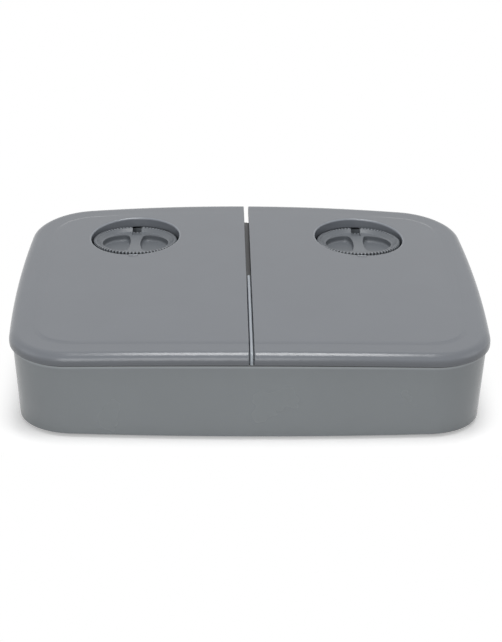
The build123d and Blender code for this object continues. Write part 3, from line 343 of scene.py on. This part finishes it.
def bumped(tree, height, strength, distance, normal=None):
    bump = add_node(
        tree, "ShaderNodeBump", values={"Strength": strength, "Distance": distance},
        links={"Height": height},
    )
    if normal is not None:
        tree.links.new(normal, bump.inputs["Normal"])
    return bump.outputs["Normal"]


def spread(tree, value, low, high, from_low=0.0, from_high=1.0):
    mapped = add_node(
        tree, "ShaderNodeMapRange",
        values={"From Min": from_low, "From Max": from_high, "To Min": low, "To Max": high},
        links={"Value": value},
    )
    return mapped.outputs["Result"]


def finish_surface(tree, values, links):
    surface = add_node(tree, "ShaderNodeBsdfPrincipled", values=values, links=links)
    add_node(tree, "ShaderNodeOutputMaterial", links={"Surface": surface.outputs["BSDF"]})

# %% [markdown]
# ## Moulded plastic
#
# Nearly every shell is satin ABS from a polished mould with a very fine spark grain. The
# grain gives a soft, slightly broken highlight instead of a mirror, and the colour is dyed
# through, so it hardly changes over the piece. One function makes all such plastics: a fine
# noise for the grain, a wide one for the faint unevenness of roughness, and a hex colour.
#
# A moulded edge is never quite sharp. The bevel node rounds the light over each edge by the
# given radius, without a change of the mesh. A piece may add a tone, which multiplies its
# colour and paints light and shade onto it, a pattern of heights for the bump, and a change
# of its normal.

# %% Moulded plastic
ABS_IOR = 1.54
GRAIN_SIZE = 0.6 * MILLIMETRE
GRAIN_HEIGHT = 0.02 * MILLIMETRE
GRAIN_STRENGTH = 0.25
RIDGE_HEIGHT = 0.4 * MILLIMETRE
RIDGE_STRENGTH = 1.0
PATCH_SIZE = 40 * MILLIMETRE
PATCH_LOW, PATCH_HIGH = 0.1, 0.9
ROUGHNESS_SPREAD = 0.04
SHADE_SPREAD = 0.03
BEVEL_SAMPLES = 8


def moulded_plastic(
    name, hex_colour, roughness, edge=0.4, shine=0.5, painted_tone=None, ridges=None, flattened=None,
):
    material = new_material(name)
    tree = material.node_tree
    patches = object_noise(tree, PATCH_SIZE, detail=3.0)
    grain = object_noise(tree, GRAIN_SIZE, detail=2.0)
    smoothest, roughest = roughness - ROUGHNESS_SPREAD, roughness + ROUGHNESS_SPREAD
    gloss = spread(tree, patches, smoothest, roughest, PATCH_LOW, PATCH_HIGH)
    shade = ramp(tree, patches, [(PATCH_LOW, 1 - SHADE_SPREAD), (PATCH_HIGH, 1 + SHADE_SPREAD)])
    # The tone multiplies the colour with painted light and shade.
    if painted_tone:
        shade = maths(tree, "MULTIPLY", shade, painted_tone(tree))
    colour = add_node(
        tree, "ShaderNodeVectorMath", {"operation": "SCALE"}, {0: linear(hex_colour)[:3]},
        {"Scale": shade},
    ).outputs["Vector"]
    normal = add_node(
        tree, "ShaderNodeBevel", {"samples": BEVEL_SAMPLES}, {"Radius": edge * MILLIMETRE},
    ).outputs["Normal"]
    if flattened:
        normal = flattened(tree, normal)
    if ridges:
        normal = bumped(tree, ridges(tree), RIDGE_STRENGTH, RIDGE_HEIGHT, normal)
    normal = bumped(tree, grain, GRAIN_STRENGTH, GRAIN_HEIGHT, normal)
    finish_surface(
        tree, {"IOR": ABS_IOR, "Specular IOR Level": shine},
        {"Base Color": colour, "Roughness": gloss, "Normal": normal},
    )
    return material

# %% [markdown]
# ## The seam and the rim of the base
#
# The base is closed by the lids along a seam. In the photograph the seam is dark, and the
# edge right below it is the brightest line on the wall. With lamps alone the thin ledge in
# the seam comes out too pale and the edge too dull, so both are painted into the colour:
# painted shade on the ledge in the seam and a painted highlight on the edge below it. The
# upper edge of the base follows a plane that rises to the back and falls off to both sides
# as a shallow arch, and the depth below that edge places the painted shade and highlight.
# A second tone paints shade on the ends of the wall, so they come out darker. Such painted
# tones belong to this light: they stay when another lamp is used.

# %% Base tones
RIM_FRONT = 55.0
RIM_SLOPE = 0.0998
ARCH_DROP = 5.2
# Painted shade in the seam and a painted highlight on the rim edge, by depth below the rim.
SEAM_PAINTED_SHADE_AND_HIGHLIGHT = [(0.75, 0.2), (1.0, 1.5), (1.9, 1.35), (2.8, 1.0)]
SEAM_RANGE = (-2.0, 6.0)
# Painted shade that darkens the ends of the wall.
END_PAINTED_SHADE = [(0.0, 1.04), (120.0, 1.02), (148.0, 0.92), (162.0, 0.74)]


def depth_below_rim(tree, x, y, z):
    rise = maths(tree, "MULTIPLY_ADD", y, RIM_SLOPE, RIM_FRONT + RIM_SLOPE * HALF_DEPTH)
    across = maths(tree, "DIVIDE", x, HALF_WIDTH)
    arch = maths(tree, "MULTIPLY", maths(tree, "MULTIPLY", across, across), ARCH_DROP)
    return maths(tree, "SUBTRACT", maths(tree, "SUBTRACT", rise, arch), z)


def base_painted_light(tree):
    x, y, z = object_place(tree)
    painted_seam = ramp(tree, depth_below_rim(tree, x, y, z), SEAM_PAINTED_SHADE_AND_HIGHLIGHT, *SEAM_RANGE)
    painted_ends = ramp(tree, x, END_PAINTED_SHADE, 0.0, HALF_WIDTH)
    return maths(tree, "MULTIPLY", painted_seam, painted_ends)


print("rim in mm, front and back:", RIM_FRONT, round(RIM_FRONT + 2 * RIM_SLOPE * HALF_DEPTH, 1))

# %% [markdown]
# ## The lids
#
# The lids carry the look of the feeder. Light and shade are painted into their colour by how
# far a face looks up, so that a rolled edge gets its own tone without being a piece of its
# own: painted shade on the lower edge, a painted highlight just under the roll, and painted
# light on the collar of the dial hole and its rounded lip. The short index line in front of
# each dial gets a painted highlight too, and painted shade makes the whole lid slightly darker
# towards the back, as in the photograph. The first number of each stop is the upward part of
# the normal. The place of the dials is that of the right dial's joint in the frame.

# %% Lid tones
dial_joint = next(
    joint for joint in frame["record"]["behaviour"]["joints"] if joint["name"] == "dial_right_turn"
)
DIAL_PLACE = [round(place / MILLIMETRE, 3) for place in dial_joint["pos_m"][:2]]
HOLE_RADIUS = 34.4
# Painted shade on the lower edge and a painted highlight on the roll, by the upward normal.
EDGE_PAINTED_LIGHT_AND_SHADE = [(-0.2, 0.62), (0.3, 0.9), (0.5, 1.1), (0.8, 1.0)]
# Painted light on the collar and the rounded lip of the dial hole.
LIP_PAINTED_LIGHT = [(0.1, 1.3), (0.3, 1.6), (0.85, 1.7), (0.98, 1.1)]
INDEX_LINE = ((DIAL_PLACE[0], DIAL_PLACE[1] - 35.5), (3.3, 0.7))
# Painted highlight on the index line.
INDEX_PAINTED_HIGHLIGHT = 1.9
# Painted light at the front and painted shade towards the back of the lid.
FRONT_PAINTED_LIGHT, BACK_PAINTED_SHADE = 1.02, 0.95


def lid_painted_light(tree):
    x, y = object_place(tree)[:2]
    upward = upward_share(tree)
    painted_edge = ramp(tree, upward, EDGE_PAINTED_LIGHT_AND_SHADE, -1.0, 1.0)
    painted_lip = ramp(tree, upward, LIP_PAINTED_LIGHT, -1.0, 1.0)
    in_hole = maths(tree, "LESS_THAN", distance_from(tree, x, y, DIAL_PLACE), HOLE_RADIUS)
    painted_tone = blend_number(tree, in_hole, painted_edge, painted_lip)
    painted_tone = blend_number(tree, inside_box(tree, x, y, *INDEX_LINE), painted_tone, INDEX_PAINTED_HIGHLIGHT)
    painted_fade = ramp(
        tree, y, [(-HALF_DEPTH, FRONT_PAINTED_LIGHT), (HALF_DEPTH, BACK_PAINTED_SHADE)], -HALF_DEPTH, HALF_DEPTH,
    )
    return maths(tree, "MULTIPLY", painted_tone, painted_fade)


print("dial place in mm:", DIAL_PLACE)

# %% [markdown]
# The raised middle field of a lid ends in a step so shallow that the photograph shows it as
# a faint line only. A lower step in the mesh would change the shape, so the step stays, and
# the normal is turned most of the way back to that of the flat lid in a band along it. The
# band follows the rounded outline of the feeder: the inset of a point is its distance to the
# sides, or near a corner to the corner's arc.

# %% Shallow step
STEP_INSET = (12.0, 21.5)
STEP_BORDER = 1.0
STEP_SHARE = 0.8
CORNER_RADIUS = 45.0
INSET_END = 40.0
TOP_LIMIT = 0.8
FLAT_NORMAL = (0.0, -RIM_SLOPE, 0.995)


def inset_from_outline(tree, x, y):
    past_x = maths(tree, "SUBTRACT", x, HALF_WIDTH - CORNER_RADIUS)
    past_y = maths(tree, "SUBTRACT", maths(tree, "ABSOLUTE", y), HALF_DEPTH - CORNER_RADIUS)
    corner = distance_from(
        tree, maths(tree, "MAXIMUM", past_x, 0.0), maths(tree, "MAXIMUM", past_y, 0.0),
    )
    inner = maths(tree, "MINIMUM", maths(tree, "MAXIMUM", past_x, past_y), 0.0)
    return maths(tree, "SUBTRACT", CORNER_RADIUS, maths(tree, "ADD", corner, inner))


def flattened_step(tree, normal):
    x, y = object_place(tree)[:2]
    first, last = STEP_INSET
    stops = [
        (first - STEP_BORDER, 0.0), (first, STEP_SHARE),
        (last, STEP_SHARE), (last + STEP_BORDER, 0.0),
    ]
    band = ramp(tree, inset_from_outline(tree, x, y), stops, 0.0, INSET_END)
    on_top = maths(tree, "GREATER_THAN", upward_share(tree), TOP_LIMIT)
    flat = add_node(
        tree, "ShaderNodeVectorTransform",
        {"vector_type": "NORMAL", "convert_from": "OBJECT", "convert_to": "WORLD"},
        {"Vector": FLAT_NORMAL},
    ).outputs["Vector"]
    mixed = add_node(tree, "ShaderNodeMix", {"data_type": "VECTOR"})
    tree.links.new(maths(tree, "MULTIPLY", band, on_top), mixed.inputs[0])
    vectors = [end for end in mixed.inputs if end.type == "VECTOR" and "Factor" not in end.name]
    for socket, source in zip(vectors, (normal, flat)):
        tree.links.new(source, socket)
    result = [end for end in mixed.outputs if end.type == "VECTOR"][0]
    unit = add_node(tree, "ShaderNodeVectorMath", {"operation": "NORMALIZE"}, links={0: result})
    return unit.outputs["Vector"]


print("band along the step, in mm from the outline:", STEP_INSET)

# %% [markdown]
# ## The dials
#
# The ridges of a dial's grip run over the edge onto the top of the rim, where they show as a
# ring of small bumps. The teeth of the grip are in the mesh. Bumps as small as those on the
# rim would cost many triangles there, so a wave that goes round with the angle gives both
# their heights, for the bump, and a painted highlight on their tops with painted shade
# between them.

# %% Dial ridges
RIDGES = 72
RIM_TOP = 28.4
RIM_BORDER = 0.3
RIM_RANGE = (20.0, 40.0)
# Strength of the painted highlight on the ridge tops and painted shade between them.
RIDGE_PAINTED_LIGHT = 0.65


def dial_wave(tree):
    x, y = object_place(tree)[:2]
    away_x = maths(tree, "SUBTRACT", x, DIAL_PLACE[0])
    away_y = maths(tree, "SUBTRACT", y, DIAL_PLACE[1])
    around = maths(tree, "ARCTAN2", away_y, away_x)
    wave = maths(tree, "COSINE", maths(tree, "MULTIPLY", around, RIDGES))
    edge = [(RIM_TOP - RIM_BORDER, 0.0), (RIM_TOP + RIM_BORDER, 1.0)]
    on_rim = ramp(tree, distance_from(tree, x, y, DIAL_PLACE), edge, *RIM_RANGE)
    return wave, on_rim


def dial_ridges(tree):
    wave, on_rim = dial_wave(tree)
    return maths(tree, "MULTIPLY", maths(tree, "MULTIPLY_ADD", wave, 0.5, 0.5), on_rim)


# Painted highlight and shade that follow the ridges round the rim.
def dial_painted_light(tree):
    wave, on_rim = dial_wave(tree)
    return maths(tree, "MULTIPLY_ADD", maths(tree, "MULTIPLY", wave, on_rim), RIDGE_PAINTED_LIGHT, 1.0)


print("degrees from ridge to ridge:", 360 / RIDGES)

# %% [markdown]
# ## The deck
#
# The deck under the lids is given a darker plastic, whose dark colour also stands in for the
# shade in the gap between the lids. The top of the divider rib in its middle shows as a pale
# line between the lids, painted here as a highlight, and the rear of that gap gets painted
# shade. The floor behind the index notches gets hardly any light here, and painted light makes
# it paler to read as in the photograph. Three boxes, seen from above, say where each painted
# tone holds. Separate pieces in other colours would do as well, but a deck like this is one
# moulding.

# %% Deck tones
DIVIDER_RIB = ((0.0, -64.5), (2.5, 60.5))
REAR_OF_GAP = ((0.0, 68.0), (6.0, 70.0))
BEHIND_NOTCH = ((DIAL_PLACE[0], DIAL_PLACE[1] + 32.0), (4.0, 8.0))
# Painted highlight on the top of the divider rib.
RIB_PAINTED_HIGHLIGHT = 7.0
# Painted shade at the rear of the gap between the lids.
GAP_PAINTED_SHADE = 0.4
# Painted light on the floor behind the index notches.
NOTCH_PAINTED_LIGHT = 6.0


def deck_painted_light(tree):
    x, y = object_place(tree)[:2]
    painted_tone = 1.0
    for box, factor in (
        (DIVIDER_RIB, RIB_PAINTED_HIGHLIGHT), (REAR_OF_GAP, GAP_PAINTED_SHADE), (BEHIND_NOTCH, NOTCH_PAINTED_LIGHT),
    ):
        painted_tone = blend_number(tree, inside_box(tree, x, y, *box), painted_tone, factor)
    return painted_tone

# %% [markdown]
# ## The plastics
#
# The outer shells are one grey plastic, written as greys that differ by a few levels only,
# as in the photograph: the lids and dials a little darker and the base a little paler. That
# difference is painted light: painted shade on the lids and dials, which get more light from
# above, and painted light on the base wall. The trays are a paler, glossier polypropylene that
# food doesn't stick to. The gears are acetal, left in its natural white, and the cell has a
# plain dark sleeve. Each plastic is one call: its name, its colour, how rough it is, and what
# else sets it apart. The dials have half the usual shine, because the photograph shows no
# glint on their rim.

# %% The plastics
# Darker lid and dial greys and a paler base grey: painted shade and painted light.
lid_abs = moulded_plastic(
    "satin_grey_abs_lid", "#6C7076", 0.22, edge=0.8, painted_tone=lid_painted_light, flattened=flattened_step,
)
dial_abs = moulded_plastic(
    "satin_grey_abs_dial", "#6A6E73", 0.36, edge=1.0, shine=0.25, painted_tone=dial_painted_light, ridges=dial_ridges,
)
base_abs = moulded_plastic("satin_grey_abs_base", "#7C8184", 0.26, painted_tone=base_painted_light)
# The dark deck colour also stands in for the shade in the gap between the lids.
deck_abs = moulded_plastic("dark_grey_abs_deck", "#3E4144", 0.3, painted_tone=deck_painted_light)
tray_pp = moulded_plastic("glossy_light_polypropylene", "#C4C6C8", 0.2)
timer_abs = moulded_plastic("black_timer_plastic", "#2E2F31", 0.5)
gear_pom = moulded_plastic("natural_white_acetal", "#DEDCD4", 0.35, edge=0.15)
cell_sleeve = moulded_plastic("dark_cell_sleeve", "#4A4D50", 0.3)
print("materials so far:", len(bpy.data.materials))

# %% [markdown]
# ## Rubber and steel
#
# The feet and the seals are soft black rubber, dull and almost without highlights: fine dust
# in its surface breaks the light, so one noise drives both the bump and the roughness. Pins,
# screws and springs are drawn or turned steel, so the light streaks along their length. A
# noise that is stretched along one direction gives those fine lines.

# %% Rubber and steel
DUST_SIZE = 1.2 * MILLIMETRE
DUST_HEIGHT = 0.05 * MILLIMETRE
DUST_STRENGTH = 0.4
RUBBER_IOR = 1.52
RUBBER_ROUGHNESS = (0.75, 0.9)
LINE_SIZE = 0.3 * MILLIMETRE
LINE_HEIGHT = 0.01 * MILLIMETRE
LINE_STRENGTH = 0.3
LINE_STRETCH = (0.04, 1.0, 1.0)
STEEL_SPREAD = 0.06


def soft_rubber(name, hex_colour):
    material = new_material(name)
    tree = material.node_tree
    dust = object_noise(tree, DUST_SIZE, detail=4.0)
    dull = spread(tree, dust, *RUBBER_ROUGHNESS)
    normal = bumped(tree, dust, DUST_STRENGTH, DUST_HEIGHT)
    finish_surface(
        tree, {"Base Color": linear(hex_colour), "IOR": RUBBER_IOR},
        {"Roughness": dull, "Normal": normal},
    )
    return material


def drawn_steel(name, hex_colour, roughness):
    material = new_material(name)
    tree = material.node_tree
    place = add_node(tree, "ShaderNodeTexCoord").outputs["Object"]
    stretched = add_node(
        tree, "ShaderNodeMapping", values={"Scale": LINE_STRETCH}, links={"Vector": place},
    )
    lines = object_noise(tree, LINE_SIZE, detail=2.0, vector=stretched.outputs["Vector"])
    polish = spread(tree, lines, roughness - STEEL_SPREAD, roughness + STEEL_SPREAD)
    normal = bumped(tree, lines, LINE_STRENGTH, LINE_HEIGHT)
    finish_surface(
        tree, {"Base Color": linear(hex_colour), "Metallic": 1.0},
        {"Roughness": polish, "Normal": normal},
    )
    return material


foot_rubber = soft_rubber("black_foot_rubber", "#2A2A2B")
seal_rubber = soft_rubber("black_seal_rubber", "#333334")
bright_steel = drawn_steel("drawn_steel", "#C9CBCC", 0.3)
can_steel = drawn_steel("pressed_steel_can", "#B5B7B8", 0.38)
contact_nickel = drawn_steel("nickel_plated_contact", "#D2CFC8", 0.22)
print("materials in all:", len(bpy.data.materials))

# %% [markdown]
# ## Who wears what
#
# The record names a material slot for each node, such as lid_plastic. The finishes could be
# given out node by node, but by slot the list is shorter, and a node that is added later
# finds its finish by itself.

# %% Give each node its finish
finishes = {
    "base_plastic": base_abs,
    "lid_plastic": lid_abs,
    "dial_plastic": dial_abs,
    "deck_plastic": deck_abs,
    "tray_plastic": tray_pp,
    "seal_rubber": seal_rubber,
    "foot_rubber": foot_rubber,
    "pin_steel": bright_steel,
    "spring_steel": bright_steel,
    "screw_steel": bright_steel,
    "motor_steel": can_steel,
    "gear_plastic": gear_pom,
    "timer_plastic": timer_abs,
    "cell_metal": cell_sleeve,
    "contact_metal": contact_nickel,
}
slot_of = {entry["node"]: entry["material_slot"] for entry in frame["record"]["subparts"]}
for name, node in nodes.items():
    node.data.materials.clear()
    node.data.materials.append(finishes[slot_of[name]])
print("finished nodes:", len(slot_of))
